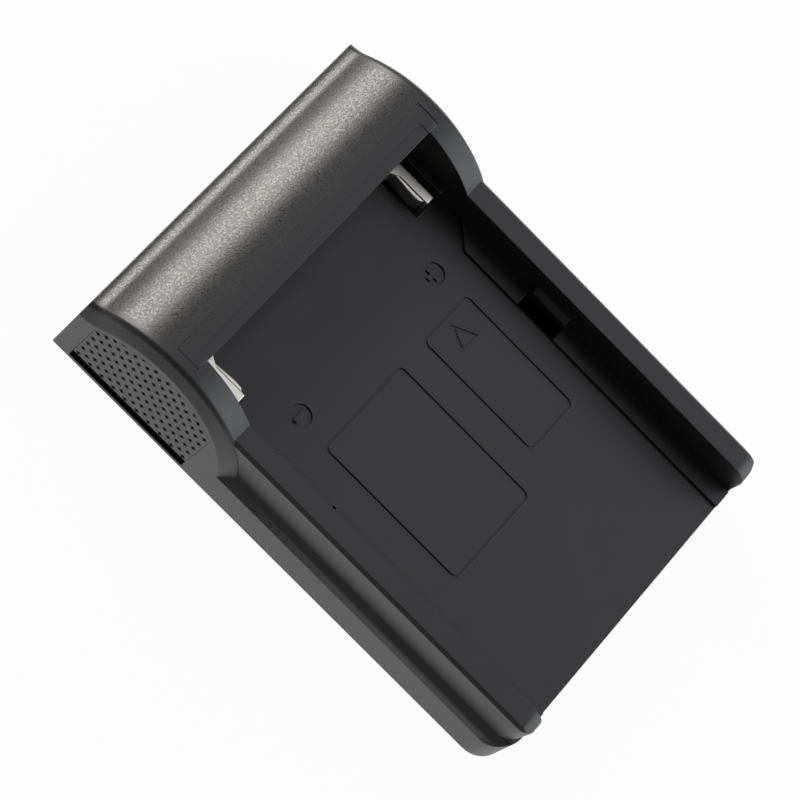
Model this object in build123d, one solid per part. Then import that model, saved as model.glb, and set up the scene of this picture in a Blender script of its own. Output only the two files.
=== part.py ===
from build123d import *
from math import cos, radians, sin, sqrt, tan
import os

# Battery plate of a camera battery charger.
# A pack slides in over the open front end, between the two rails, until its end meets the stop wall.
# Frame: X across, +Y towards the head, +Z up out of the bay; the origin is under the middle of the base.

# Outline of the plate
length = 68.3
width = 48.2
side_draft = 2.2
corner_radius = 3.4
wall = 1.8

# Bay for the pack
bay_width = 39.0
floor_height = 6.5
floor_thickness = 1.8
ledge_width = 2.5
ledge_rise = 0.5
ledge_stop_gap = 10.3
rail_width = 3.0
rail_height = 12.0
rail_edge_chamfer = 0.4
rail_setback = 0.5
rail_corner_radius = 2.0
rail_nose_radius = 2.0

# Arched head
head_length = 13.25
crown_height = 16.2
hood_radius = 14.4
hood_axis_to_back = 11.4
rim_slope = 57.0
rim_radius = 0.95
lip_height = 11.65
lip_blend_radius = 3.4
hood_top_width = 45.1

# Grip panel and finger slot in each side of the head
grip_length = 17.4
grip_to_back = 2.4
grip_depth = 0.4
grip_border = 1.0
slot_bottom = 0.6
slot_height = 1.5

# Hook catches on the inside of the rails, with a tool opening under each
hook_length = 5.4
hook_reach = 0.8
hook_underside = 7.5
hook_tip_height = 0.95
hook_slope = 0.4
hook_stop_gap = 24.4
hook_opening_margin = 0.2

# Grooves in the floor that frame a place for a label and a place for an arrow
groove_width = 0.45
groove_depth = 0.2
frame_corner = 1.0
frame_stop_gap = 16.3
label_frame_width = 14.2
label_frame_length = 21.2
label_frame_gap = 6.35
arrow_frame_width = 8.45
arrow_frame_length = 17.95
arrow_frame_gap = 6.15

# Contacts and the floor wells round them
contact_reach = 5.85
contact_to_rail = 2.45
blade_thickness = 1.2
blade_height = 2.8
blade_top = 9.5
leaf_gap = 0.1
leaf_thickness = 0.2
leaf_knuckle_reach = 0.55
leaf_knuckle_to_tip = 1.3
leaf_length = 3.9
leaf_drop = 0.15
root_width = 2.05
root_length = 1.4
tail_thickness = 0.7
well_width = 3.75
well_length = 6.15
well_depth = 1.0
guard_thickness = 0.95

# Contact block that closes the head and stops the pack
block_wall = 1.8
block_fit = 0.1
flange_length = 3.2
flange_overlap = 1.5
flange_thickness = 0.9
flange_sink = 0.05
step_length = 1.55
step_drop = 0.1
flange_slit = 0.04

# Base cover, its screws and the bosses that take them
cover_thickness = 1.6
cover_fit = 0.15
boss_diameter = 5.0
boss_spacing = 33.0
front_boss_inset = 6.2
back_boss_inset = 3.7
screw_diameter = 2.0
screw_length = 4.2
screw_hole_fit = 0.1
screw_head_diameter = 3.6
screw_head_height = 0.7
screw_head_fit = 0.4
screw_seat_depth = 0.85

# Circuit board on the cover and the pads that reach through it
board_width = 38.0
board_length = 11.6
board_thickness = 1.2
board_clearance = 1.2
board_back_gap = 0.6
post_diameter = 3.2
spigot_diameter = 1.5
spigot_fit = 0.1
post_inset = 2.4
pad_count = 4
pad_pitch = 6.5
pad_width = 3.6
pad_length = 6.0
pad_recess = 0.4
pad_fit = 0.3

# Places worked out from the sizes above
front = -length / 2
back = length / 2
stop_y = back - head_length
half_bay = bay_width / 2
rail_outer = half_bay + rail_width
contact_x = half_bay - contact_to_rail
hood_y = back - hood_axis_to_back
hood_z = crown_height - hood_radius
lean = tan(radians(side_draft))
rim_fall = tan(radians(rim_slope))
floor_underside = floor_height - floor_thickness
inner_half_width = width / 2 - lean * floor_height - wall
head_half_width = hood_top_width / 2 - wall / 2
block_back = stop_y + block_wall
boss_places = [
    (side * boss_spacing / 2, y)
    for y in (front + front_boss_inset, back - back_boss_inset)
    for side in (-1, 1)
]
board_bottom = cover_thickness + board_clearance
board_top = board_bottom + board_thickness
board_y = back - back_boss_inset - boss_diameter / 2 - board_back_gap - board_length / 2
grip_y = back - grip_to_back - grip_length / 2
reach = 2 * length
upright = (Align.CENTER, Align.CENTER, Align.MIN)


def span(x_range, y_range, z_range):
    """A box between the given limits."""
    low = [min(r) for r in (x_range, y_range, z_range)]
    size = [abs(r[1] - r[0]) for r in (x_range, y_range, z_range)]
    return Pos(*low) * Box(*size, align=(Align.MIN, Align.MIN, Align.MIN))


def bar_along_y(section, y_start, y_end):
    """A bar with the given section in X and Z, between two places along Y."""
    placed = Plane((0, y_end, 0), x_dir=(1, 0, 0), z_dir=(0, -1, 0)) * section
    return extrude(placed, y_end - y_start)


def on_hood_axis(radius, half_width):
    """A cylinder about the hood's axis."""
    return Pos(0, hood_y, hood_z) * Rot(0, 90, 0) * Cylinder(radius, 2 * half_width)


def both_sides(shape):
    """The shape and its mirror image across the middle plane."""
    return shape + mirror(shape, about=Plane.YZ)


def plate_envelope():
    """Drafted block with rounded front corners, flat at the back."""
    plan = Pos(0, length / 2) * Rectangle(width, 2 * length)
    plan = fillet(plan.vertices().group_by(Axis.Y)[0], corner_radius)
    block = extrude(plan, crown_height, taper=side_draft)
    return block & span((-reach, reach), (-reach, back), (-reach, reach))


def sloped_section(half_width, height, fall=1):
    """Section whose sides slope out from its top edge, at 45 degrees unless another fall is given."""
    foot = half_width + height / fall
    top = [(half_width, height), (-half_width, height)]
    return make_face(Polyline((-foot, 0), (foot, 0), *top, close=True))


def rounded_rim(section, level=-1):
    """The section with the corners of one level rounded, by default those of its top edge."""
    return fillet(section.vertices().group_by(Axis.Y)[level], rim_radius)


def hood_cylinder(radius, half_width):
    """Solid about the hood's axis, with ends that slope in past a rounded rim."""
    outline = rounded_rim(sloped_section(half_width, radius, rim_fall))
    return Pos(0, hood_y, hood_z) * revolve(outline, axis=Axis.X)


def rail():
    """Right rail with a rounded outer corner, a chamfered outer edge and a rounded front nose."""
    start = front + rail_setback
    bar = span((half_bay, rail_outer), (start, hood_y), (0, rail_height))
    corner = bar.edges().filter_by(Axis.Z).group_by(Axis.Y)[0].sort_by(Axis.X)[-1]
    bar = fillet(corner, rail_corner_radius)
    outer_edge = bar.faces().sort_by(Axis.Z)[-1].edges().sort_by(Axis.X)[-1]
    bar = chamfer(outer_edge, rail_edge_chamfer)
    profile = Rectangle(hood_y - start, rail_height, align=Align.MIN)
    nose = profile.vertices().group_by(Axis.X)[0].sort_by(Axis.Y)[-1]
    profile = Pos(start, 0) * fillet(nose, rail_nose_radius)
    side_view = extrude(Plane.YZ * profile, rail_outer)
    return bar & side_view & plate_envelope()


def lip_blend():
    """Concave blend from the hood to the back edge, with flared ends that keep the rounded rim."""
    half = hood_top_width / 2
    end = half + hood_radius / rim_fall
    flare = lip_blend_radius + hood_radius
    axis_z = lip_height + lip_blend_radius
    axis_y = hood_y + sqrt((hood_radius + lip_blend_radius) ** 2 - (axis_z - hood_z) ** 2)
    corners = Polyline((axis_y, axis_z), (hood_y, hood_z), (axis_y, hood_z), close=True)
    wedge = Plane.YZ * make_face(corners)
    outline = Polyline(
        (-end, 0),
        (end, 0),
        (end, flare),
        (half, lip_blend_radius),
        (-half, lip_blend_radius),
        (-end, flare),
        close=True,
    )
    outline = rounded_rim(make_face(outline), 1)
    hollow = Pos(0, axis_y, axis_z) * revolve(outline, axis=Axis.X)
    return extrude(wedge, end, both=True) - hollow


def outer_body():
    """Base slab, arched hood, back lip and rails, before anything is hollowed."""
    hood_edge = hood_top_width / 2
    body = bar_along_y(sloped_section(rail_outer, floor_height), front, back)
    lip = rounded_rim(sloped_section(hood_edge, lip_height, rim_fall))
    body += bar_along_y(lip, hood_y, back)
    body += hood_cylinder(hood_radius, hood_edge)
    body += lip_blend()
    return (body & plate_envelope()) + both_sides(rail())


def ledge():
    """Right ledge that carries the pack, cut off at 45 degrees short of the head."""
    inner = half_bay - ledge_width
    end = stop_y - ledge_stop_gap
    cut_start = end - ledge_width
    outline = Polyline((inner, front), (half_bay, front), (half_bay, end), (inner, cut_start), close=True)
    strip = extrude(Pos(0, 0, floor_underside) * make_face(outline), floor_thickness + ledge_rise)
    return strip & plate_envelope()


def hook():
    """Right hook catch: a short rib with a sloping top on the rail's inner wall."""
    tip = half_bay - hook_reach
    top = hook_underside + hook_tip_height
    corners = Polyline(
        (half_bay + rail_width / 2, hook_underside),
        (tip, hook_underside),
        (tip, top),
        (half_bay, top + hook_slope),
        (half_bay + rail_width / 2, top + hook_slope),
        close=True,
    )
    middle = stop_y - hook_stop_gap
    return bar_along_y(make_face(corners), middle - hook_length / 2, middle + hook_length / 2)


def hook_opening():
    """Opening through ledge and floor under the right hook."""
    middle = stop_y - hook_stop_gap
    half = hook_length / 2 + hook_opening_margin
    x_range = (half_bay - ledge_width, half_bay)
    return span(x_range, (middle - half, middle + half), (0, floor_height + ledge_rise))


def grip_cut():
    """Right grip panel, with an arched top that follows the hood, and the slot below it."""
    outward = (cos(radians(side_draft)), 0, sin(radians(side_draft)))
    face = Plane((width / 2, 0, 0), x_dir=(0, 1, 0), z_dir=outward)
    slot_top = slot_bottom + slot_height
    rim_run = (width - hood_top_width) / 2 - lean * crown_height
    arch_radius = hood_radius - rim_fall * rim_run - grip_border
    panel = Pos(grip_y, slot_top) * Rectangle(grip_length, crown_height, align=(Align.CENTER, Align.MIN))
    panel &= Pos(hood_y, hood_z) * Circle(arch_radius)
    panel_cut = extrude(face * panel, -grip_depth) + extrude(face * panel, wall)
    y_range = (grip_y - grip_length / 2, grip_y + grip_length / 2)
    return panel_cut + span((inner_half_width, width), y_range, (slot_bottom, slot_top))


def floor_groove(frame_width, frame_length, middle_x):
    """Groove round one of the framed places in the floor."""
    inner_width = frame_width - 2 * groove_width
    inner_length = frame_length - 2 * groove_width
    ring = RectangleRounded(frame_width, frame_length, frame_corner)
    ring -= RectangleRounded(inner_width, inner_length, frame_corner - groove_width)
    middle_y = stop_y - frame_stop_gap - frame_length / 2
    return extrude(Pos(middle_x, middle_y, floor_height - groove_depth) * ring, floor_thickness)


def cavities():
    """Hollow under the floor and inside the head."""
    under_floor = span(
        (-inner_half_width, inner_half_width), (front + wall, back - wall), (0, floor_underside)
    )
    head = on_hood_axis(hood_radius - wall, head_half_width)
    head &= span((-reach, reach), (block_back, back - wall), (0, reach))
    return under_floor + head


def flange_bed():
    """Seat in the hood for the flange of the contact block."""
    half = half_bay + flange_overlap + flange_slit
    seat_radius = hood_radius - flange_sink - flange_thickness
    bed = on_hood_axis(2 * hood_radius, half) - on_hood_axis(seat_radius, half)
    return bed & span((-half, half), (stop_y, stop_y + flange_length + flange_slit), (hood_z, reach))


def bosses():
    """Screw bosses, the front pair under the floor and the back pair up to the lip."""
    tops = (floor_underside + floor_thickness / 2, lip_height - wall / 2)
    posts = []
    for x, y in boss_places:
        top = tops[0] if y < 0 else tops[1]
        height = top - cover_thickness
        posts.append(Pos(x, y, cover_thickness) * Cylinder(boss_diameter / 2, height, align=upright))
    return Part() + posts


def boss_holes():
    """Pilot holes for the cover screws."""
    depth = screw_seat_depth + screw_length + screw_hole_fit
    radius = screw_diameter / 2 + screw_hole_fit / 2
    holes = [Pos(x, y) * Cylinder(radius, depth, align=upright) for x, y in boss_places]
    return Part() + holes


def cradle_shell():
    """The one-piece moulding."""
    shell = outer_body() - cavities()
    shell -= span((-half_bay, half_bay), (front - wall, block_back), (floor_height, reach))
    shell -= flange_bed()
    shell += both_sides(ledge())
    well_y = (stop_y - well_length, stop_y)
    well = span((half_bay - well_width, half_bay), well_y, (floor_height - well_depth, reach))
    guard = span((half_bay - guard_thickness, half_bay), well_y, (floor_underside, blade_top))
    shell -= both_sides(well)
    shell += both_sides(guard)
    shell -= both_sides(hook_opening())
    shell += both_sides(hook())
    label_x = -half_bay + label_frame_gap + label_frame_width / 2
    arrow_x = half_bay - arrow_frame_gap - arrow_frame_width / 2
    shell -= floor_groove(label_frame_width, label_frame_length, label_x)
    shell -= floor_groove(arrow_frame_width, arrow_frame_length, arrow_x)
    shell -= both_sides(grip_cut())
    shell += bosses()
    return shell - boss_holes()


def contact_slot():
    """Clearance for the right contact where it passes through the block."""
    outer = contact_x + blade_thickness / 2 + block_fit
    inner = outer - root_width - 2 * block_fit
    z_range = (blade_top - blade_height - block_fit, blade_top + block_fit)
    return span((inner, outer), (stop_y - wall, block_back + wall), z_range)


def contact():
    """Right contact: blade, spring leaf with a knuckle, wide root and the tail down to the board."""
    inner = contact_x - blade_thickness / 2
    outer = contact_x + blade_thickness / 2
    blade_bottom = blade_top - blade_height
    tail_end = block_back + tail_thickness
    blade = span((inner, outer), (stop_y - contact_reach, tail_end), (blade_bottom, blade_top))
    root_inner = outer - root_width
    leaf_start = stop_y - root_length
    root_outline = Polyline(
        (inner, block_back), (root_inner, block_back), (root_inner, stop_y), (inner, leaf_start), close=True
    )
    root = extrude(Pos(0, 0, blade_bottom) * make_face(root_outline), blade_height)
    leaf_back = inner - leaf_gap
    leaf_foot = (leaf_back, leaf_start + root_length / 2)
    leaf_face = (leaf_back - leaf_thickness, leaf_start + root_length / 2)
    leaf_tip = (leaf_back, leaf_start - leaf_length)
    knuckle = (inner - leaf_knuckle_reach, leaf_tip[1] + leaf_knuckle_to_tip)
    rise = Line(leaf_face, knuckle)
    turn = TangentArc(knuckle, leaf_tip, tangent=rise % 1)
    outline = [Polyline(leaf_tip, leaf_foot, leaf_face), rise, turn]
    strip = Pos(0, 0, blade_bottom + leaf_drop) * make_face(outline)
    leaf = extrude(strip, blade_height - 2 * leaf_drop)
    tail = span((inner, outer), (block_back, tail_end), (board_top, blade_top))
    return blade + root + leaf + tail


def contact_block():
    """Stop wall with contact slots and a stepped flange that follows the hood."""
    half_wall = half_bay - block_fit
    half_flange = half_bay + flange_overlap
    top_radius = hood_radius - flange_sink
    seat_radius = top_radius - flange_thickness
    blank = span((-half_wall, half_wall), (stop_y, block_back - block_fit), (floor_height, reach))
    blank &= on_hood_axis(top_radius, half_wall)
    flange = on_hood_axis(top_radius, half_flange) - on_hood_axis(seat_radius, half_flange)
    flange &= span((-reach, reach), (stop_y, stop_y + flange_length), (hood_z, reach))
    step = on_hood_axis(hood_radius, half_wall) - on_hood_axis(top_radius - step_drop, half_wall)
    step &= span((-reach, reach), (stop_y, stop_y + step_length), (hood_z, reach))
    return blank + flange - step - both_sides(contact_slot())


def board_posts(radius, z_range):
    """Four upright cylinders at the board's corners."""
    x = board_width / 2 - post_inset
    y = board_length / 2 - post_inset
    height = z_range[1] - z_range[0]
    posts = [
        Pos(px, board_y + py, z_range[0]) * Cylinder(radius, height, align=upright)
        for px in (-x, x)
        for py in (-y, y)
    ]
    return Part() + posts


def pads(fit, z_range):
    """The row of output pads, or the windows for them when a fit is given."""
    half_x = pad_width / 2 + fit
    half_y = pad_length / 2 + fit
    first = -pad_pitch * (pad_count - 1) / 2
    centres = [first + pad_pitch * i for i in range(pad_count)]
    return [
        span((x - half_x, x + half_x), (board_y - half_y, board_y + half_y), z_range) for x in centres
    ]


def base_cover():
    """Flat cover inside the rim, with screw seats, pad windows, slot notches and board posts."""
    half = inner_half_width - cover_fit
    inset = wall + cover_fit
    plate = span((-half, half), (front + inset, back - inset), (0, cover_thickness))
    seat_radius = (screw_head_diameter + screw_head_fit) / 2
    for x, y in boss_places:
        plate -= Pos(x, y) * Cylinder(seat_radius, screw_seat_depth, align=upright)
    plate -= boss_holes()
    notch_y = (grip_y - grip_length / 2, grip_y + grip_length / 2)
    plate -= both_sides(span((half - wall, width), notch_y, (slot_bottom, reach)))
    plate += board_posts(post_diameter / 2, (cover_thickness, board_bottom))
    plate += board_posts(spigot_diameter / 2, (cover_thickness, board_top))
    for window in pads(pad_fit, (-wall, reach)):
        plate -= window
    return plate


def circuit_board():
    """Board with a hole over each spigot."""
    half_x = board_width / 2
    half_y = board_length / 2
    board = span((-half_x, half_x), (board_y - half_y, board_y + half_y), (board_bottom, board_top))
    return board - board_posts(spigot_diameter / 2 + spigot_fit, (board_bottom, board_top))


def cover_screws():
    """The four screws, head down in the cover."""
    screws = []
    for x, y in boss_places:
        seat = Pos(x, y, screw_seat_depth)
        head = seat * Pos(0, 0, -screw_head_height)
        head *= Cylinder(screw_head_diameter / 2, screw_head_height, align=upright)
        screws.append(head + seat * Cylinder(screw_diameter / 2, screw_length, align=upright))
    return screws


positive_contact = contact()
nodes = {
    "cradle_shell": cradle_shell(),
    "contact_block": contact_block(),
    "positive_contact": positive_contact,
    "negative_contact": mirror(positive_contact, about=Plane.YZ),
    "base_cover": base_cover(),
    "circuit_board": circuit_board(),
    "output_pads": Compound(children=pads(0, (pad_recess, board_bottom))),
    "cover_screws": Compound(children=cover_screws()),
}
os.makedirs("parts", exist_ok=True)
for name, shape in nodes.items():
    export_step(shape, f"parts/{name}.step")
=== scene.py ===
"""Finishes the battery plate of a camera battery charger and sets it up for a studio picture."""

import math

import bmesh
import bpy
from bpy.props import FloatProperty, FloatVectorProperty, PointerProperty
from mathutils import Matrix, Vector


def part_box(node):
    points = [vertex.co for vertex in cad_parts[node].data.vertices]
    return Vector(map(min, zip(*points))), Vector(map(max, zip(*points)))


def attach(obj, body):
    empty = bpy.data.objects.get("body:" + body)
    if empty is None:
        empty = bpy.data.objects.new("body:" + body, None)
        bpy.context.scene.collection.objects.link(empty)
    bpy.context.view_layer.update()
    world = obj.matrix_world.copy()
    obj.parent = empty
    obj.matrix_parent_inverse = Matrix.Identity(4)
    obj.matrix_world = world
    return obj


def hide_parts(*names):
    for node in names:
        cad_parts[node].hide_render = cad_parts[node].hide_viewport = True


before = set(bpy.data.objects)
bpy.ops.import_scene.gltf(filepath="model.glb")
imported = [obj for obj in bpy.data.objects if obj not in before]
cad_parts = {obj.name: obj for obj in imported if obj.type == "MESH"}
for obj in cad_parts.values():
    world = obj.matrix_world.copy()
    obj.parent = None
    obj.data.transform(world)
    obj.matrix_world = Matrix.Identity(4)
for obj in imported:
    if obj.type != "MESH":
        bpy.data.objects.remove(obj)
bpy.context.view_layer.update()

bl_info = {
    "name": "Battery plate finish",
    "version": (1, 0, 0),
    "blender": (4, 5, 0),
    "location": "View3D > Sidebar > Battery plate",
    "description": "Rounds, engraves and finishes the battery plate of a charger, and lights it",
    "category": "Object",
}

BODY = "root"
STOP_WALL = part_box("contact_block")[0].y
BAY_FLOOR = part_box("contact_block")[0].z

# Merging of the CAD triangles and rounding of edges
MERGE_DISTANCE = 1e-6
FLAT_ANGLE = math.radians(0.4)
SHARP_ANGLE = math.radians(24)
CREASE_ANGLE = math.radians(40)
FOLD_ANGLE = math.radians(155)
FOLD_REACH = 0.00025
ROUNDING_TRIES = 4
ROUNDING_STEPS = 3
FLAT_WEIGHT = 50
EDGE_ROOM = 0.4
RUN_ON = -0.85
LEAST_RADIUS = 1e-5

# Round shapes, the grip panel and the screws
DISC_CORNERS = 48
SHANK_CORNERS = 32
PANEL_LEVEL = 0.999
PANEL_NEAR = 0.125
SCREW_SEED = 3

# Surface of the mouldings: a cloudy mottle, a fine grain, and the cells of the hood's coarse grain
NOISE_MEAN = 0.5
MOTTLE_SIZE = 0.004
MOTTLE_DETAIL = 3.0
MOTTLE_SHADES = (0.88, 1.12)
MOTTLE_ROUGHNESS = 0.08
GRAIN_DETAIL = 1.0
GRAIN_HEIGHT = 0.00001
GRAIN_STRENGTH = 0.35
CELL_STOPS = ((0.36, 0.0), (0.64, 1.0))
CELL_SHADES = (0.7, 1.35)
CELL_ROUGHNESS = 0.16

# Surface of the plated metal: rolling marks and faint clouds
METAL_DETAIL = 2.0
MARK_STRETCH = (1.0, 0.08, 1.0)
FINE_MARKS = 0.00006
COARSE_MARKS = 0.00008
MARK_ROUGHNESS = 0.16
MARK_HEIGHT = 0.000004
MARK_STRENGTH = 0.4
CLOUD_SIZE = 0.002
CLOUD_SHADES = (0.86, 1.08)

# Surface of the circuit board: tracks and the weave under the lacquer
LANE_WIDTH = 0.0009
TRACK_START = 0.00055
TRACK_HEIGHT = 0.00003
TRACK_STRENGTH = 0.6
WEAVE_SIZE = 0.0004
WEAVE_SHADE = 0.25
WEAVE_HEIGHT = 0.2
WEAVE_ROUGHNESS = 0.1
LACQUER_COAT = 0.4
BLACK = (0.0, 0.0, 0.0, 1.0)
WHITE = (1.0, 1.0, 1.0, 1.0)

# Heights of the room's tones, from 0 straight down to 1 straight up, and the camera's nearest view
SKY_HEIGHTS = (0.0, 0.51, 0.54, 0.71, 0.8)
NEAREST_VIEW = 0.01


def length(name, description, default):
    """A length in metres that a user may change."""
    return FloatProperty(
        name=name, description=description, default=default, min=0.0, precision=5, unit="LENGTH"
    )


def share(name, description, default):
    """A number from 0 to 1 that a user may change."""
    return FloatProperty(
        name=name, description=description, default=default, min=0.0, max=1.0, subtype="FACTOR"
    )


def number(name, description, default, least=0.0):
    """A plain number that a user may change."""
    return FloatProperty(name=name, description=description, default=default, min=least)


def angle(name, description, degrees):
    """An angle that a user may change."""
    return FloatProperty(name=name, description=description, default=math.radians(degrees), subtype="ANGLE")


def colour(name, description, default):
    """A linear colour that a user may change."""
    return FloatVectorProperty(
        name=name, description=description, default=(*default, 1.0), size=4, min=0.0, max=1.0, subtype="COLOR"
    )


def place(name, description, default):
    """A point in metres that a user may change."""
    return FloatVectorProperty(
        name=name, description=description, default=default, size=3, precision=5, subtype="XYZ", unit="LENGTH"
    )


class FinishSettings(bpy.types.PropertyGroup):
    """Colours and surface of each material."""

    plastic_colour: colour("Plastic", "Charcoal of the mouldings", (0.012, 0.0118, 0.0123))
    plastic_roughness: share("Plastic roughness", "Roughness of the eroded matt finish", 0.42)
    plastic_gloss: number("Plastic gloss", "Index of refraction of the mouldings' skin", 1.66, 1.0)
    plastic_grain: length("Plastic grain", "Size of the fine matt grain", 0.00012)
    hood_colour: colour("Hood", "Charcoal of the grained hood", (0.011, 0.0108, 0.0104))
    hood_roughness: share("Hood roughness", "Roughness of the grained hood", 0.33)
    hood_grain: length("Hood grain", "Size of the coarse grain on the hood", 0.00021)
    hood_relief: number("Hood relief", "Height of the hood's grain against the fine grain", 1.5)
    hood_bottom: length("Hood bottom", "Height above which the hood's grain starts", 0.0115)
    hood_half_width: length("Hood half width", "Distance from the middle at which the grain ends", 0.0223)
    hood_fade: length("Hood fade", "Length over which the grain comes up", 0.001)
    nickel_colour: colour("Nickel", "Plating of the contacts", (0.95, 0.93, 0.81))
    nickel_roughness: share("Nickel roughness", "Roughness of the satin plating", 0.3)
    brass_colour: colour("Brass", "Plating of the output pads", (0.75, 0.55, 0.25))
    brass_roughness: share("Brass roughness", "Roughness of the output pads", 0.28)
    steel_colour: colour("Steel", "Zinc on the cover screws", (0.58, 0.58, 0.57))
    steel_roughness: share("Steel roughness", "Roughness of the cover screws", 0.32)
    laminate_colour: colour("Laminate", "Lacquer on the circuit board", (0.012, 0.075, 0.03))
    laminate_roughness: share("Laminate roughness", "Roughness of the lacquer", 0.34)
    copper_colour: colour("Tracks", "Lacquered copper tracks", (0.03, 0.15, 0.06))


class ReliefSettings(bpy.types.PropertyGroup):
    """Sizes of the rounded edges and of what is sunk into the bay floor."""

    edge_radius: length("Edge radius", "Rounding of the moulded edges", 0.00012)
    sunk_edge_radius: length("Sunk edge radius", "Rounding of what is sunk into floor and hood", 0.00004)
    block_edge_radius: length("Block edge radius", "Rounding of the contact block", 0.00004)
    metal_edge_radius: length("Metal edge radius", "Rounding of the stamped contacts", 0.00015)
    sign_offset: length("Sign offset", "Each polarity sign's distance from the middle", 0.0122)
    sign_to_stop: length("Sign to stop", "Polarity signs' distance from the stop wall", 0.01207)
    sign_diameter: length("Sign diameter", "Sunk disc of a polarity sign", 0.0029)
    sign_length: length("Sign length", "Length of a bar in a polarity sign", 0.0019)
    sign_stroke: length("Sign stroke", "Width of a bar in a polarity sign", 0.0006)
    sign_depth: length("Sign depth", "Depth of the sunk disc", 0.00025)
    arrow_offset: length("Arrow offset", "The triangle's distance from the middle", 0.00925)
    arrow_to_stop: length("Arrow to stop", "Distance of the triangle's tip from the stop wall", 0.01753)
    arrow_size: length("Arrow size", "Width and height of the triangle", 0.0031)
    arrow_stroke: length("Arrow stroke", "Width of the groove round the triangle", 0.0003)
    arrow_depth: length("Arrow depth", "Depth of the groove round the triangle", 0.00014)
    bridge_offset: length("Bridge offset", "Distance of the left opening's bridge from the middle", 0.017)
    bridge_to_stop: length("Bridge to stop", "Distance of the bridge's end from the stop wall", 0.02205)
    bridge_length: length("Bridge length", "Length of the bridge", 0.0053)
    bridge_width: length("Bridge width", "Width of the bridge", 0.0007)
    ledge_rise: length("Ledge rise", "Height of the ledges over the bay floor", 0.0005)


class GripSettings(bpy.types.PropertyGroup):
    """Sizes of the grip lattice in the sides of the head."""

    lean: angle("Lean", "Draft of the side faces", 2.2)
    recess: length("Recess", "Depth of the panel in the side face", 0.0004)
    pitch: length("Pitch", "Diagonal of one pit, both ways", 0.0018)
    ridge: length("Ridge", "Width of the ridges between the pits", 0.00068)
    depth: length("Depth", "Depth of the pits", 0.00033)
    slope: length("Slope", "How far a pit's corners draw in towards its bottom", 0.00025)
    fit: length("Fit", "How far the lattice stays below the side face", 0.00003)


class ScrewSettings(bpy.types.PropertyGroup):
    """Sizes of the cover screws."""

    head_diameter: length("Head diameter", "Across the head", 0.0036)
    head_height: length("Head height", "Height of the head", 0.0007)
    head_edge: length("Head edge", "Slope round the rim of the head", 0.0002)
    shank_diameter: length("Shank diameter", "Across the shank", 0.002)
    recess_width: length("Recess width", "Width of a blade of the cross", 0.0005)
    recess_length: length("Recess length", "Span of the cross", 0.002)
    recess_depth: length("Recess depth", "Depth of the cross", 0.0005)


class StageSettings(bpy.types.PropertyGroup):
    """Camera, lamps and floor."""

    camera_place: place("Camera", "Where the camera stands", (-0.150791, 0.034354, 0.319853))
    camera_target: place("Target", "What the camera looks at", (-0.002787, 0.00199, 0.008))
    camera_roll: angle("Roll", "Turn of the camera about its view", 56.335)
    camera_lens: number("Lens", "Focal length in millimetres on a 36 mm sensor", 138.824, 1.0)
    key_direction: place("Key light", "Direction towards the key light", (0.41, 0.74, 0.52))
    key_distance: length("Key distance", "Distance of the key light", 0.7)
    key_size: length("Key size", "Side of the key light", 0.3)
    key_power: number("Key power", "Watts of the key light", 3.0)
    key_colour: colour("Key colour", "Warm tint of the key light", (1.0, 0.975, 0.92))
    front_direction: place("Front light", "Direction towards the front light", (0.42, -0.78, 0.4))
    front_distance: length("Front distance", "Distance of the front light", 0.7)
    front_size: length("Front size", "Side of the front light", 0.8)
    front_power: number("Front power", "Watts of the front light", 3.4)
    front_colour: colour("Front colour", "Cool tint of the front light", (0.91, 0.95, 1.0))
    top_direction: place("Top light", "Direction towards the top light", (0.43, 0.08, 0.9))
    top_distance: length("Top distance", "Distance of the top light", 0.8)
    top_size: length("Top size", "Side of the top light", 0.5)
    top_power: number("Top power", "Watts of the top light", 0.6)
    top_colour: colour("Top colour", "Cool tint of the top light", (0.93, 0.91, 1.0))
    sky_top: share("Sky top", "Brightness straight above", 0.07)
    sky_side: share("Sky side", "Brightness of the sides of the room", 0.22)
    sky_foot: share("Sky foot", "Brightness at the height of the floor", 0.9)
    floor_size: length("Floor", "Side of the floor", 6.0)
    floor_colour: colour("Floor colour", "Pale paper under the plate", (0.82, 0.82, 0.82))
    floor_glow: share("Floor glow", "How much of the floor's own white the camera sees", 0.96)


class Signal:
    """A node's output that takes part in sums: each operator adds a Math node."""

    def __init__(self, bench, socket):
        self.bench = bench
        self.socket = socket

    def _math(self, operation, first, second):
        return self.bench.node("ShaderNodeMath", {"operation": operation}, {0: first, 1: second})

    def __add__(self, other):
        return self._math("ADD", self, other)

    def __sub__(self, other):
        return self._math("SUBTRACT", self, other)

    def __rsub__(self, other):
        return self._math("SUBTRACT", other, self)

    def __mul__(self, other):
        return self._math("MULTIPLY", self, other)

    def __truediv__(self, other):
        return self._math("DIVIDE", self, other)

    def __rtruediv__(self, other):
        return self._math("DIVIDE", other, self)

    def __gt__(self, other):
        return self._math("GREATER_THAN", self, other)

    def __lt__(self, other):
        return self._math("LESS_THAN", self, other)

    def larger(self, other):
        """The larger of the two values."""
        return self._math("MAXIMUM", self, other)

    def smaller(self, other):
        """The smaller of the two values."""
        return self._math("MINIMUM", self, other)

    __radd__ = __add__
    __rmul__ = __mul__


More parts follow.
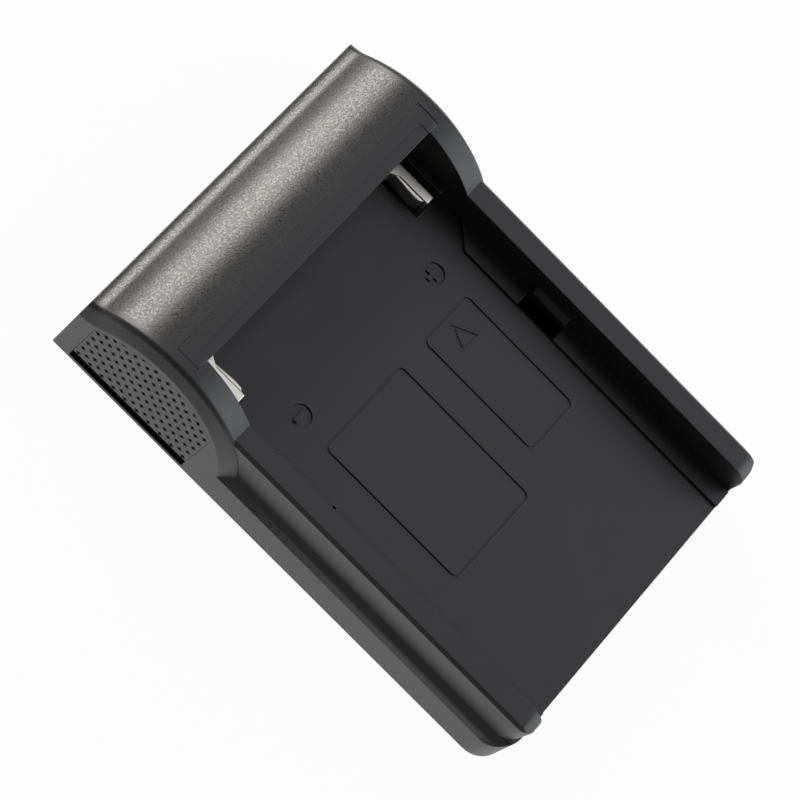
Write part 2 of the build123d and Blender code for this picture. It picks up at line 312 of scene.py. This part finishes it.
class Bench:
    """Adds nodes to one tree."""

    def __init__(self, tree):
        self.tree = tree
        self.tree.nodes.clear()

    def node(self, kind, settings=None, inputs=None, output=0):
        """Adds a node, sets it up, fills its sockets with values or signals and gives one output."""
        made = self.tree.nodes.new(kind)
        for name, value in (settings or {}).items():
            if name == "stops":
                self._set_stops(made.color_ramp, value)
            else:
                setattr(made, name, value)
        for key, value in (inputs or {}).items():
            socket = self._pick(made.inputs, key)
            signals = value if isinstance(value, list) else [value]
            if isinstance(signals[0], Signal):
                for signal in signals:
                    self.tree.links.new(signal.socket, socket)
            else:
                socket.default_value = value
        if not made.outputs:
            return None
        return Signal(self, self._pick(made.outputs, output))

    @staticmethod
    def _pick(sockets, key):
        if isinstance(key, int):
            return sockets[key]
        return next(s for s in sockets if key in (s.identifier, s.name))

    @staticmethod
    def _set_stops(ramp, stops):
        while len(ramp.elements) < len(stops):
            ramp.elements.new(1.0)
        for element, (position, value) in zip(ramp.elements, stops):
            element.position = position
            element.color = (value, value, value, 1.0)


class Finish(Bench):
    """A material under construction, read in Object coordinates."""

    def __init__(self, name):
        self.material = bpy.data.materials.new(name)
        self.material.use_nodes = True
        super().__init__(self.material.node_tree)
        self.point = self.node("ShaderNodeTexCoord", output="Object")

    def axis(self, letter):
        """One coordinate of the surface point."""
        return self.node("ShaderNodeSeparateXYZ", None, {"Vector": self.point}, letter)

    def noise(self, size, detail, stretch=(1.0, 1.0, 1.0)):
        """Even noise from 0 to 1 with the given grain size."""
        scaled = self.node("ShaderNodeVectorMath", {"operation": "MULTIPLY"}, {0: self.point, 1: stretch})
        inputs = {"Vector": scaled, "Scale": 1.0 / size, "Detail": detail, "Roughness": 0.5}
        return self.node("ShaderNodeTexNoise", None, inputs, "Fac")

    def ramp(self, value, *stops):
        """The value sent through a curve of stops."""
        return self.node("ShaderNodeValToRGB", {"stops": stops}, {"Fac": value})

    def blend(self, factor, first, second):
        """One colour turning into another."""
        return self.node(
            "ShaderNodeMix",
            {"data_type": "RGBA"},
            {"Factor_Float": factor, "A_Color": first, "B_Color": second},
            "Result_Color",
        )

    def bump(self, height, distance, strength):
        """A normal tilted by a height from 0 to 1."""
        inputs = {"Height": height, "Distance": distance, "Strength": strength}
        return self.node("ShaderNodeBump", None, inputs)

    def surface(self, **inputs):
        """The main shader, joined to the output."""
        named = {key.replace("_", " "): value for key, value in inputs.items()}
        shader = self.node("ShaderNodeBsdfPrincipled", None, named)
        self.node("ShaderNodeOutputMaterial", None, {"Surface": shader})
        return self.material


class Carving(Bench):
    """A geometry tree under construction, with a named input for each size."""

    def __init__(self, name, sizes):
        super().__init__(bpy.data.node_groups.new(name, "GeometryNodeTree"))
        self.sizes = sizes
        self._plug("Geometry", "INPUT", "NodeSocketGeometry")
        self.keys = {size: self._plug(size, "INPUT", "NodeSocketFloat") for size in sizes}
        self._plug("Geometry", "OUTPUT", "NodeSocketGeometry")
        self.group = self.tree.nodes.new("NodeGroupInput")

    def _plug(self, name, way, kind):
        return self.tree.interface.new_socket(name, in_out=way, socket_type=kind).identifier

    def given(self, name):
        """What comes in under the name."""
        return Signal(self, self._pick(self.group.outputs, name))

    def vector(self, x=0.0, y=0.0, z=0.0):
        """Three values as one vector."""
        return self.node("ShaderNodeCombineXYZ", None, {"X": x, "Y": y, "Z": z})

    def moved(self, geometry, **places):
        """The geometry moved along the named axes."""
        return self.node(
            "GeometryNodeTransform", None, {"Geometry": geometry, "Translation": self.vector(**places)}
        )

    def joined(self, *parts):
        """Several parts as one."""
        return self.node("GeometryNodeJoinGeometry", None, {"Geometry": list(parts)})

    def drum(self, corners, radius, depth):
        """An upright cylinder about the origin."""
        inputs = {"Vertices": corners, "Radius": radius, "Depth": depth}
        return self.node("GeometryNodeMeshCylinder", None, inputs)

    def cut(self, body, tool):
        """The body with the tool's shape taken out."""
        settings = {"operation": "DIFFERENCE", "solver": "EXACT"}
        return self.node("GeometryNodeMeshBoolean", settings, {"Mesh 1": body, "Mesh 2": tool})

    def realized(self, geometry):
        """Instances turned into plain mesh."""
        return self.node("GeometryNodeRealizeInstances", None, {"Geometry": geometry})

    def apply(self, geometry, obj, material):
        """Ends the tree, runs it on the object with its sizes and keeps the result as a plain mesh."""
        dressed = self.node(
            "GeometryNodeSetMaterial", None, {"Geometry": self.realized(geometry), "Material": material}
        )
        self.node("NodeGroupOutput", None, {"Geometry": dressed})
        modifier = obj.modifiers.new(self.tree.name, "NODES")
        modifier.node_group = self.tree
        for name, key in self.keys.items():
            modifier[key] = self.sizes[name]
        keep_result(obj)


def shade(base, factor):
    """A colour made lighter or darker."""
    return (*(min(1.0, c * factor) for c in base[:3]), 1.0)


def shades(base, factors):
    """The colour at each of the factors."""
    return [shade(base, factor) for factor in factors]


def moulded_plastic(name, settings, with_hood):
    """Matt charcoal plastic, with a coarser and glossier grain on the hood where there is one."""
    finish = Finish(name)
    mottle = finish.noise(MOTTLE_SIZE, MOTTLE_DETAIL)
    height = finish.noise(settings.plastic_grain, GRAIN_DETAIL)
    base = finish.blend(mottle, *shades(settings.plastic_colour, MOTTLE_SHADES))
    roughness = settings.plastic_roughness + (mottle - NOISE_MEAN) * MOTTLE_ROUGHNESS
    if with_hood:
        aside = finish.node("ShaderNodeMath", {"operation": "ABSOLUTE"}, {0: finish.axis("X")})
        inwards = ((settings.hood_half_width - aside) / settings.hood_fade).larger(0.0).smaller(1.0)
        behind = ((finish.axis("Y") - STOP_WALL) / settings.hood_fade).larger(0.0).smaller(1.0)
        hood = (finish.axis("Z") > settings.hood_bottom) * inwards * behind
        cells = finish.ramp(finish.noise(settings.hood_grain, GRAIN_DETAIL), *CELL_STOPS)
        base = finish.blend(hood, base, finish.blend(cells, *shades(settings.hood_colour, CELL_SHADES)))
        speckled = settings.hood_roughness + (cells - NOISE_MEAN) * CELL_ROUGHNESS
        roughness = roughness + (speckled - roughness) * hood
        height = height + (cells * settings.hood_relief - height) * hood
    normal = finish.bump(height, GRAIN_HEIGHT, GRAIN_STRENGTH)
    return finish.surface(Base_Color=base, Roughness=roughness, Normal=normal, IOR=settings.plastic_gloss)


def plated_metal(name, tint, roughness, mark_size):
    """Plated metal with fine rolling marks along its length."""
    finish = Finish(name)
    marks = finish.noise(mark_size, METAL_DETAIL, MARK_STRETCH)
    cloud = finish.noise(CLOUD_SIZE, METAL_DETAIL)
    base = finish.blend(cloud, *shades(tint, CLOUD_SHADES))
    rough = roughness + (marks - NOISE_MEAN) * MARK_ROUGHNESS
    normal = finish.bump(marks, MARK_HEIGHT, MARK_STRENGTH)
    return finish.surface(Base_Color=base, Roughness=rough, Metallic=1.0, Normal=normal)


def board_lacquer(name, settings):
    """Lacquered laminate with raised tracks and a faint weave."""
    finish = Finish(name)
    lane = finish.node("ShaderNodeMath", {"operation": "PINGPONG"}, {0: finish.axis("X"), 1: LANE_WIDTH})
    track = lane > TRACK_START
    weave = finish.noise(WEAVE_SIZE, GRAIN_DETAIL)
    base = finish.blend(track, settings.laminate_colour, settings.copper_colour)
    base = finish.blend(weave * WEAVE_SHADE, base, BLACK)
    rough = settings.laminate_roughness + weave * WEAVE_ROUGHNESS
    normal = finish.bump(track + weave * WEAVE_HEIGHT, TRACK_HEIGHT, TRACK_STRENGTH)
    return finish.surface(Base_Color=base, Roughness=rough, Normal=normal, Coat_Weight=LACQUER_COAT)


def show(obj):
    """Puts an object in the scene."""
    bpy.context.scene.collection.objects.link(obj)
    return obj


def evaluated_mesh(obj):
    """What the object's modifiers make of it, as a plain mesh."""
    bpy.context.view_layer.update()
    ready = obj.evaluated_get(bpy.context.evaluated_depsgraph_get())
    return bpy.data.meshes.new_from_object(ready)


def keep_result(obj):
    """Turns what the object's modifiers make of it into its own mesh."""
    made = evaluated_mesh(obj)
    obj.modifiers.clear()
    obj.data = made


def merged_copy(node):
    """The node's triangles as one closed surface with flat faces joined."""
    bm = bmesh.new()
    bm.from_mesh(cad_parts[node].data)
    bmesh.ops.remove_doubles(bm, verts=bm.verts, dist=MERGE_DISTANCE)
    bmesh.ops.dissolve_limit(bm, angle_limit=FLAT_ANGLE, verts=bm.verts, edges=bm.edges)
    return bm


def mesh_object(bm, name, material):
    """A new object made from the mesh under construction."""
    mesh = bpy.data.meshes.new(name)
    bm.to_mesh(mesh)
    bm.free()
    mesh.materials.append(material)
    return show(bpy.data.objects.new(name, mesh))


def finish_piece(obj, slot, *nodes):
    """Rides the piece on the plate and hides the CAD nodes it stands for; the slot is not used."""
    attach(obj, BODY)
    if nodes:
        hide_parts(*nodes)


def room_beside(edge):
    """How far a rounding may spread from the edge before it meets a neighbour."""
    room = math.inf
    for vert in edge.verts:
        along = (edge.other_vert(vert).co - vert.co).normalized()
        for other in vert.link_edges:
            towards = other.other_vert(vert).co - vert.co
            if other is not edge and towards.dot(along) > RUN_ON * towards.length:
                room = min(room, towards.cross(along).length)
    return EDGE_ROOM * room


def weigh_edges(obj, radius_at, widest):
    """Gives each sharp outer edge as much rounding as it has room for, and keeps the rest crisp."""
    bm = bmesh.new()
    bm.from_mesh(obj.data)
    layer = bm.edges.layers.float.new("bevel_weight_edge")
    for edge in bm.edges:
        if not edge.is_manifold or edge.calc_face_angle() < SHARP_ANGLE:
            continue
        middle = (edge.verts[0].co + edge.verts[1].co) / 2
        radius = min(radius_at(middle), room_beside(edge))
        if edge.is_convex and radius > LEAST_RADIUS:
            edge[layer] = radius / widest
        else:
            edge.smooth = False
    bm.to_mesh(obj.data)
    bm.free()


def folded_spots(obj):
    """Where the rounding turns a face over."""
    made = evaluated_mesh(obj)
    bm = bmesh.new()
    bm.from_mesh(made)
    spots = []
    for edge in bm.edges:
        if edge.is_manifold and edge.calc_face_angle() > FOLD_ANGLE:
            thin = min(edge.link_faces, key=lambda face: face.calc_area())
            short = min(thin.edges, key=lambda side: side.calc_length())
            spots.append((short.verts[0].co + short.verts[1].co) / 2)
    bm.free()
    bpy.data.meshes.remove(made)
    return spots


def leave_crisp(obj, spots):
    """Takes the rounding off the edges that end near the spots."""
    bm = bmesh.new()
    bm.from_mesh(obj.data)
    layer = bm.edges.layers.float["bevel_weight_edge"]
    for edge in bm.edges:
        near = any((vert.co - spot).length < FOLD_REACH for vert in edge.verts for spot in spots)
        if edge[layer] > 0.0 and near:
            edge[layer] = 0.0
            edge.smooth = False
    bm.to_mesh(obj.data)
    bm.free()


def split_creases(obj):
    """Marks every crease that is still there after the rounding, so that shading stops at it."""
    bm = bmesh.new()
    bm.from_mesh(obj.data)
    for edge in bm.edges:
        if not edge.is_manifold or edge.calc_face_angle() > CREASE_ANGLE:
            edge.smooth = False
    bm.to_mesh(obj.data)
    bm.free()


def round_edges(obj, radius_at, widest):
    """Rounds every sharp edge and keeps the flats flat, as a plain mesh."""
    weigh_edges(obj, radius_at, widest)
    bevel = obj.modifiers.new("Edges", "BEVEL")
    bevel.width = widest
    bevel.segments = ROUNDING_STEPS
    bevel.limit_method = "WEIGHT"
    bevel.use_clamp_overlap = False
    bevel.face_strength_mode = "FSTR_ALL"
    obj.data.shade_smooth()
    for _ in range(ROUNDING_TRIES):
        spots = folded_spots(obj)
        if not spots:
            break
        leave_crisp(obj, spots)
    keep_result(obj)
    split_creases(obj)
    weighted = obj.modifiers.new("Flats", "WEIGHTED_NORMAL")
    weighted.mode = "FACE_AREA"
    weighted.weight = FLAT_WEIGHT
    weighted.keep_sharp = True
    weighted.use_face_influence = True
    keep_result(obj)


def rounded_node(node, name, material, radius, slot):
    """A copy of a CAD node with rounded edges, which stands for it."""
    obj = mesh_object(merged_copy(node), name, material)
    round_edges(obj, lambda point: radius, radius)
    finish_piece(obj, slot, node)


def add_prism(bm, outline, low, high):
    """An upright prism on an outline in X and Y."""
    foot = bm.faces.new([bm.verts.new((x, y, low)) for x, y in outline])
    made = bmesh.ops.extrude_face_region(bm, geom=[foot])["geom"]
    lifted = [item for item in made if isinstance(item, bmesh.types.BMVert)]
    bmesh.ops.translate(bm, verts=lifted, vec=(0.0, 0.0, high - low))
    bmesh.ops.recalc_face_normals(bm, faces=bm.faces)


def combine(obj, bm, operation):
    """Cuts the mesh out of the object or adds it to it."""
    tool = mesh_object(bm, "tool", obj.data.materials[0])
    shape = obj.modifiers.new("Shape", "BOOLEAN")
    shape.operation = operation
    shape.solver = "EXACT"
    shape.object = tool
    keep_result(obj)
    bpy.data.objects.remove(tool)


def round_outline(x, y, radius):
    """Points round a circle."""
    turns = [math.tau * i / DISC_CORNERS for i in range(DISC_CORNERS)]
    return [(x + radius * math.cos(turn), y + radius * math.sin(turn)) for turn in turns]


def bar_outline(x, y, long, wide):
    """Corners of a bar across the plate."""
    return [(x - long, y - wide), (x + long, y - wide), (x + long, y + wide), (x - long, y + wide)]


def cross_outline(x, y, long, wide):
    """Corners of a plus sign."""
    quarter = [(wide, -long), (wide, -wide), (long, -wide)]
    corners = []
    for _ in range(4):
        corners += [(x + px, y + py) for px, py in quarter]
        quarter = [(-py, px) for px, py in quarter]
    return corners


def arrow_outline(x, tip_y, size, inset):
    """Corners of a triangle that points along the plate, drawn in from its full size."""
    leg = math.hypot(size / 2, size)
    inner_radius = size * size / (size + 2 * leg)
    scale = 1.0 - inset / inner_radius
    middle_y = tip_y - size + inner_radius
    corners = ((-size / 2, -inner_radius), (size / 2, -inner_radius), (0.0, size - inner_radius))
    return [(x + scale * px, middle_y + scale * py) for px, py in corners]


def engrave(shell, relief):
    """Sinks the polarity discs and the arrow's groove into the bay floor and leaves the signs standing."""
    sign_y = STOP_WALL - relief.sign_to_stop
    long = relief.sign_length / 2
    wide = relief.sign_stroke / 2
    sunk = bmesh.new()
    for x in (-relief.sign_offset, relief.sign_offset):
        outline = round_outline(x, sign_y, relief.sign_diameter / 2)
        add_prism(sunk, outline, BAY_FLOOR - relief.sign_depth, BAY_FLOOR + relief.sign_depth)
    arrow = (relief.arrow_offset, STOP_WALL - relief.arrow_to_stop, relief.arrow_size)
    outline = arrow_outline(*arrow, 0.0)
    add_prism(sunk, outline, BAY_FLOOR - relief.arrow_depth, BAY_FLOOR + relief.arrow_depth)
    combine(shell, sunk, "DIFFERENCE")
    signs = bmesh.new()
    foot = BAY_FLOOR - 2 * relief.sign_depth
    add_prism(signs, bar_outline(-relief.sign_offset, sign_y, long, wide), foot, BAY_FLOOR)
    add_prism(signs, cross_outline(relief.sign_offset, sign_y, long, wide), foot, BAY_FLOOR)
    add_prism(signs, arrow_outline(*arrow, relief.arrow_stroke), foot, BAY_FLOOR)
    half_length = relief.bridge_length / 2
    half_width = relief.bridge_width / 2
    bridge_x = -relief.bridge_offset - half_width
    bridge_y = STOP_WALL - relief.bridge_to_stop - half_length
    bridge = bar_outline(bridge_x, bridge_y, half_width, half_length)
    add_prism(signs, bridge, foot, BAY_FLOOR + relief.ledge_rise)
    combine(shell, signs, "UNION")


def panel_frame(side, grip):
    """Matrix from a grip panel's own plane, with its height along Z, to the plate."""
    outward = Vector((side * math.cos(grip.lean), 0.0, math.sin(grip.lean)))
    along = Vector((0.0, side, 0.0))
    upward = outward.cross(along)
    half_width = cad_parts["cradle_shell"].dimensions.x / 2
    start = Vector((side * half_width, 0.0, 0.0)) - outward * grip.recess
    turn = Matrix((along, upward, outward)).transposed().to_4x4()
    return Matrix.Translation(start) @ turn


def panel_slab(side, grip):
    """A slab that fills the grip panel of one side nearly flush, in the panel's own plane."""
    bm = merged_copy("cradle_shell")
    bm.transform(panel_frame(side, grip).inverted())
    bm.normal_update()
    near = grip.recess * PANEL_NEAR
    floor = [f for f in bm.faces if f.normal.z > PANEL_LEVEL and all(abs(v.co.z) < near for v in f.verts)]
    if not floor:
        raise RuntimeError("the grip panel was not found in the shell")
    others = [f for f in bm.faces if f not in floor]
    bmesh.ops.delete(bm, geom=others, context="FACES")
    made = bmesh.ops.extrude_face_region(bm, geom=bm.faces[:], use_keep_orig=True)["geom"]
    lifted = [item for item in made if isinstance(item, bmesh.types.BMVert)]
    bmesh.ops.translate(bm, verts=lifted, vec=(0.0, 0.0, grip.recess - grip.fit))
    bmesh.ops.recalc_face_normals(bm, faces=bm.faces)
    return bm


def carve_lattice(obj, material, grip):
    """Sinks staggered rows of four-sided pits into the slab, so that crossed ridges stay."""
    low, high = (Vector(corner) for corner in (obj.bound_box[0], obj.bound_box[6]))
    middle = (low + high) / 2
    corner = (grip.pitch - grip.ridge * math.sqrt(2.0)) / 2
    sizes = {
        "Pitch": grip.pitch,
        "Columns": math.ceil((high.x - low.x) / grip.pitch) + 1,
        "Rows": math.ceil((high.y - low.y) / grip.pitch) + 1,
        "Middle along": middle.x,
        "Middle up": middle.y,
        "Pit corner": corner,
        "Pit slope": grip.slope,
        "Pit depth": grip.depth,
        "Pit bottom": high.z - grip.depth,
    }
    tree = Carving("grip_lattice", sizes)
    pitch = tree.given("Pitch")
    slope = tree.given("Pit slope")
    columns = tree.given("Columns")
    rows = tree.given("Rows")
    grid = tree.node(
        "GeometryNodeMeshGrid",
        None,
        {
            "Size X": columns * pitch,
            "Size Y": rows * pitch,
            "Vertices X": columns + 1,
            "Vertices Y": rows + 1,
        },
    )
    between = tree.moved(grid, x=pitch / 2, y=pitch / 2)
    spots = tree.moved(
        tree.joined(grid, between),
        x=tree.given("Middle along"),
        y=tree.given("Middle up"),
        z=tree.given("Pit bottom"),
    )
    pit = tree.node(
        "GeometryNodeMeshCone",
        None,
        {
            "Vertices": 4,
            "Radius Top": tree.given("Pit corner") + slope,
            "Radius Bottom": tree.given("Pit corner") - slope,
            "Depth": tree.given("Pit depth") * 2.0,
        },
    )
    pits = tree.realized(tree.node("GeometryNodeInstanceOnPoints", None, {"Points": spots, "Instance": pit}))
    tree.apply(tree.cut(tree.given("Geometry"), pits), obj, material)


def make_screws(obj, material, screw):
    """Puts a cross-head screw on each of the object's points, head down."""
    low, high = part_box("cover_screws")
    sizes = {
        "Head radius": screw.head_diameter / 2,
        "Head height": screw.head_height,
        "Head edge": screw.head_edge,
        "Shank radius": screw.shank_diameter / 2,
        "Length": high.z - low.z,
        "Recess width": screw.recess_width,
        "Recess length": screw.recess_length,
        "Recess depth": screw.recess_depth,
    }
    tree = Carving("cover_screw", sizes)
    radius = tree.given("Head radius")
    edge = tree.given("Head edge")
    height = tree.given("Head height")
    rim = tree.node(
        "GeometryNodeMeshCone",
        None,
        {"Vertices": DISC_CORNERS, "Radius Top": radius, "Radius Bottom": radius - edge, "Depth": edge},
    )
    drum = tree.drum(DISC_CORNERS, radius, height - edge)
    drum = tree.moved(drum, z=(height + edge) / 2)
    rest = tree.given("Length") - height
    shank = tree.drum(SHANK_CORNERS, tree.given("Shank radius"), rest)
    shank = tree.moved(shank, z=height + rest / 2)
    body = tree.node(
        "GeometryNodeMeshBoolean", {"operation": "UNION", "solver": "EXACT"}, {"Mesh 2": [rim, drum, shank]}
    )
    wide = tree.given("Recess width")
    long = tree.given("Recess length")
    deep = tree.given("Recess depth") * 2.0
    blades = [
        tree.node("GeometryNodeMeshCube", None, {"Size": tree.vector(x, y, deep)})
        for x, y in ((long, wide), (wide, long))
    ]
    body = tree.cut(body, blades)
    turn = tree.node(
        "FunctionNodeRandomValue",
        {"data_type": "FLOAT"},
        {"Max_001": math.pi / 2, "Seed": SCREW_SEED},
        "Value_001",
    )
    inputs = {"Points": tree.given("Geometry"), "Instance": body, "Rotation": tree.vector(z=turn)}
    tree.apply(tree.node("GeometryNodeInstanceOnPoints", None, inputs), obj, material)


class PLATE_OT_shell(bpy.types.Operator):
    """Make the one-piece moulding with its rounded edges and sunk signs"""

    bl_idname = "plate.shell"
    bl_label = "Cradle shell"

    def execute(self, context):
        relief = context.scene.plate_relief
        material = moulded_plastic("grained_charcoal_plastic", context.scene.plate_finish, True)
        shell = mesh_object(merged_copy("cradle_shell"), "cradle_moulding", material)
        engrave(shell, relief)

        bay_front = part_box("cradle_shell")[0].y + relief.sign_diameter
        flange_end, flange_back, hood_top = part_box("contact_block")[1]

        def radius_at(point):
            in_floor = abs(point.z - BAY_FLOOR) < 2 * relief.sign_depth and point.y > bay_front
            behind_wall = STOP_WALL < point.y < flange_back + relief.edge_radius
            by_flange = behind_wall and abs(point.x) < flange_end + relief.edge_radius
            in_hood = by_flange and point.z > hood_top - relief.sign_length
            return relief.sunk_edge_radius if in_floor or in_hood else relief.edge_radius

        round_edges(shell, radius_at, relief.edge_radius)
        finish_piece(shell, "shell_plastic", "cradle_shell")
        return {"FINISHED"}


class PLATE_OT_grips(bpy.types.Operator):
    """Make the crossed ridges in the two grip panels"""

    bl_idname = "plate.grips"
    bl_label = "Grip lattices"

    def execute(self, context):
        grip = context.scene.plate_grip
        material = moulded_plastic("ridged_charcoal_plastic", context.scene.plate_finish, False)
        for name, side in (("left", -1), ("right", 1)):
            lattice = mesh_object(panel_slab(side, grip), f"{name}_grip_lattice", material)
            carve_lattice(lattice, material, grip)
            lattice.data.transform(panel_frame(side, grip))
            finish_piece(lattice, "shell_plastic")
        return {"FINISHED"}


class PLATE_OT_contact_block(bpy.types.Operator):
    """Make the stop wall with its stepped flange"""

    bl_idname = "plate.contact_block"
    bl_label = "Contact block"

    def execute(self, context):
        scene = context.scene
        material = moulded_plastic("block_charcoal_plastic", scene.plate_finish, False)
        radius = scene.plate_relief.block_edge_radius
        rounded_node("contact_block", "stop_block", material, radius, "block_plastic")
        return {"FINISHED"}


class PLATE_OT_contacts(bpy.types.Operator):
    """Make the two nickel contacts"""

    bl_idname = "plate.contacts"
    bl_label = "Contacts"

    def execute(self, context):
        scene = context.scene
        finish = scene.plate_finish
        material = plated_metal("satin_nickel", finish.nickel_colour, finish.nickel_roughness, FINE_MARKS)
        radius = scene.plate_relief.metal_edge_radius
        for sign in ("positive", "negative"):
            rounded_node(f"{sign}_contact", f"{sign}_leaf", material, radius, "contact_nickel")
        return {"FINISHED"}


class PLATE_OT_underside(bpy.types.Operator):
    """Finish the cover, the board and the output pads"""

    bl_idname = "plate.underside"
    bl_label = "Underside"

    def execute(self, context):
        finish = context.scene.plate_finish
        brass = (finish.brass_colour, finish.brass_roughness, COARSE_MARKS)
        finishes = {
            "base_cover": moulded_plastic("cover_charcoal_plastic", finish, False),
            "circuit_board": board_lacquer("lacquered_laminate", finish),
            "output_pads": plated_metal("pad_brass", *brass),
        }
        for node, material in finishes.items():
            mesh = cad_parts[node].data
            mesh.materials.clear()
            mesh.materials.append(material)
        return {"FINISHED"}


class PLATE_OT_screws(bpy.types.Operator):
    """Make the four cross-head screws of the cover"""

    bl_idname = "plate.screws"
    bl_label = "Cover screws"

    def execute(self, context):
        screw = context.scene.plate_screw
        finish = context.scene.plate_finish
        material = plated_metal("zinc_steel", finish.steel_colour, finish.steel_roughness, COARSE_MARKS)
        low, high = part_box("cover_screws")
        inset = screw.head_diameter / 2
        spots = bmesh.new()
        for x in (low.x + inset, high.x - inset):
            for y in (low.y + inset, high.y - inset):
                spots.verts.new((x, y, low.z))
        screws = mesh_object(spots, "cross_head_screws", material)
        make_screws(screws, material, screw)
        finish_piece(screws, "screw_steel", "cover_screws")
        return {"FINISHED"}


class PLATE_OT_stage(bpy.types.Operator):
    """Set up the floor, the light and the camera"""

    bl_idname = "plate.stage"
    bl_label = "Stage"

    def execute(self, context):
        settings = context.scene.plate_stage
        add_floor(settings)
        add_surroundings(settings)
        for name in ("key", "front", "top"):
            parts = ("direction", "distance", "size", "power", "colour")
            add_soft_light(f"{name}_light", *(getattr(settings, f"{name}_{part}") for part in parts))
        add_camera(settings)
        context.scene.view_settings.view_transform = "Standard"
        return {"FINISHED"}


def seen_directly(bench):
    """1 for rays from the camera and for mirrored or refracted ones, and 0 for scattered light."""
    names = ("Is Camera Ray", "Is Glossy Ray", "Is Transmission Ray")
    camera, mirrored, refracted = [bench.node("ShaderNodeLightPath", None, None, name) for name in names]
    return (camera + mirrored + refracted).smaller(1.0)


def add_floor(settings):
    """A pale floor just under the plate, white to the camera but for the plate's soft shadow."""
    half = settings.floor_size / 2
    bm = bmesh.new()
    bmesh.ops.create_grid(bm, x_segments=1, y_segments=1, size=half)
    material = bpy.data.materials.new("pale_paper")
    material.use_nodes = True
    bench = Bench(material.node_tree)
    paper = bench.node("ShaderNodeBsdfDiffuse", None, {"Color": settings.floor_colour})
    glow = bench.node("ShaderNodeEmission", None, {"Color": WHITE, "Strength": 1.0})
    mixed = bench.node(
        "ShaderNodeMixShader", None, {0: seen_directly(bench) * settings.floor_glow, 1: paper, 2: glow}
    )
    clear = bench.node("ShaderNodeBsdfTransparent")
    under = bench.node("ShaderNodeNewGeometry", None, None, "Backfacing")
    both = bench.node("ShaderNodeMixShader", None, {0: under, 1: mixed, 2: clear})
    bench.node("ShaderNodeOutputMaterial", None, {"Surface": both})
    floor = mesh_object(bm, "floor", material)


def add_surroundings(settings):
    """A plain room: bright at the height of the floor, dim at the sides and dark straight above."""
    world = bpy.data.worlds.new("studio_room")
    world.use_nodes = True
    bench = Bench(world.node_tree)
    direction = bench.node("ShaderNodeTexCoord", None, None, "Generated")
    height = bench.node("ShaderNodeSeparateXYZ", None, {"Vector": direction}, "Z")
    foot, side, top = settings.sky_foot, settings.sky_side, settings.sky_top
    stops = tuple(zip(SKY_HEIGHTS, (foot, foot, side, side, top)))
    tone = bench.node("ShaderNodeValToRGB", {"stops": stops}, {"Fac": (height + 1.0) / 2.0})
    light = bench.node("ShaderNodeBackground", None, {"Color": tone, "Strength": 1.0})
    bench.node("ShaderNodeOutputWorld", None, {"Surface": light})
    bpy.context.scene.world = world


def add_soft_light(name, direction, distance, size, power, tint):
    """A square soft light that faces the plate."""
    lamp = bpy.data.lights.new(name, "AREA")
    lamp.size = size
    lamp.energy = power
    lamp.color = tint[:3]
    obj = show(bpy.data.objects.new(name, lamp))
    towards = Vector(direction).normalized()
    obj.location = towards * distance
    obj.rotation_euler = towards.to_track_quat("Z", "Y").to_euler()


def add_camera(settings):
    """The camera at the photograph's viewing angle."""
    data = bpy.data.cameras.new("camera")
    data.lens = settings.camera_lens
    data.clip_start = NEAREST_VIEW
    camera = show(bpy.data.objects.new("camera", data))
    start = Vector(settings.camera_place)
    view = Vector(settings.camera_target) - start
    turn = view.to_track_quat("-Z", "Y").to_matrix().to_4x4()
    camera.matrix_world = Matrix.Translation(start) @ turn @ Matrix.Rotation(settings.camera_roll, 4, "Z")
    bpy.context.scene.camera = camera


class PLATE_PT_sidebar(bpy.types.Panel):
    """The steps that finish the plate, and their settings"""

    bl_label = "Battery plate"
    bl_space_type = "VIEW_3D"
    bl_region_type = "UI"
    bl_category = "Battery plate"

    def draw(self, context):
        for step in STEPS:
            self.layout.operator(step.bl_idname)
        for name in SETTINGS:
            group = getattr(context.scene, name)
            box = self.layout.box()
            for key in group.__annotations__:
                box.prop(group, key)


STEPS = (
    PLATE_OT_shell,
    PLATE_OT_grips,
    PLATE_OT_contact_block,
    PLATE_OT_contacts,
    PLATE_OT_underside,
    PLATE_OT_screws,
    PLATE_OT_stage,
)
SETTINGS = {
    "plate_finish": FinishSettings,
    "plate_relief": ReliefSettings,
    "plate_grip": GripSettings,
    "plate_screw": ScrewSettings,
    "plate_stage": StageSettings,
}
CLASSES = (*SETTINGS.values(), *STEPS, PLATE_PT_sidebar)


def register():
    """Makes the settings, the steps and the panel known."""
    for item in CLASSES:
        bpy.utils.register_class(item)
    for name, group in SETTINGS.items():
        setattr(bpy.types.Scene, name, PointerProperty(type=group))


def unregister():
    """Takes the settings, the steps and the panel out again."""
    for name in SETTINGS:
        delattr(bpy.types.Scene, name)
    for item in reversed(CLASSES):
        bpy.utils.unregister_class(item)


def main():
    """Runs every step."""
    register()
    for step in STEPS:
        group, name = step.bl_idname.split(".")
        getattr(getattr(bpy.ops, group), name)()


if __name__ == "__main__":
    main()
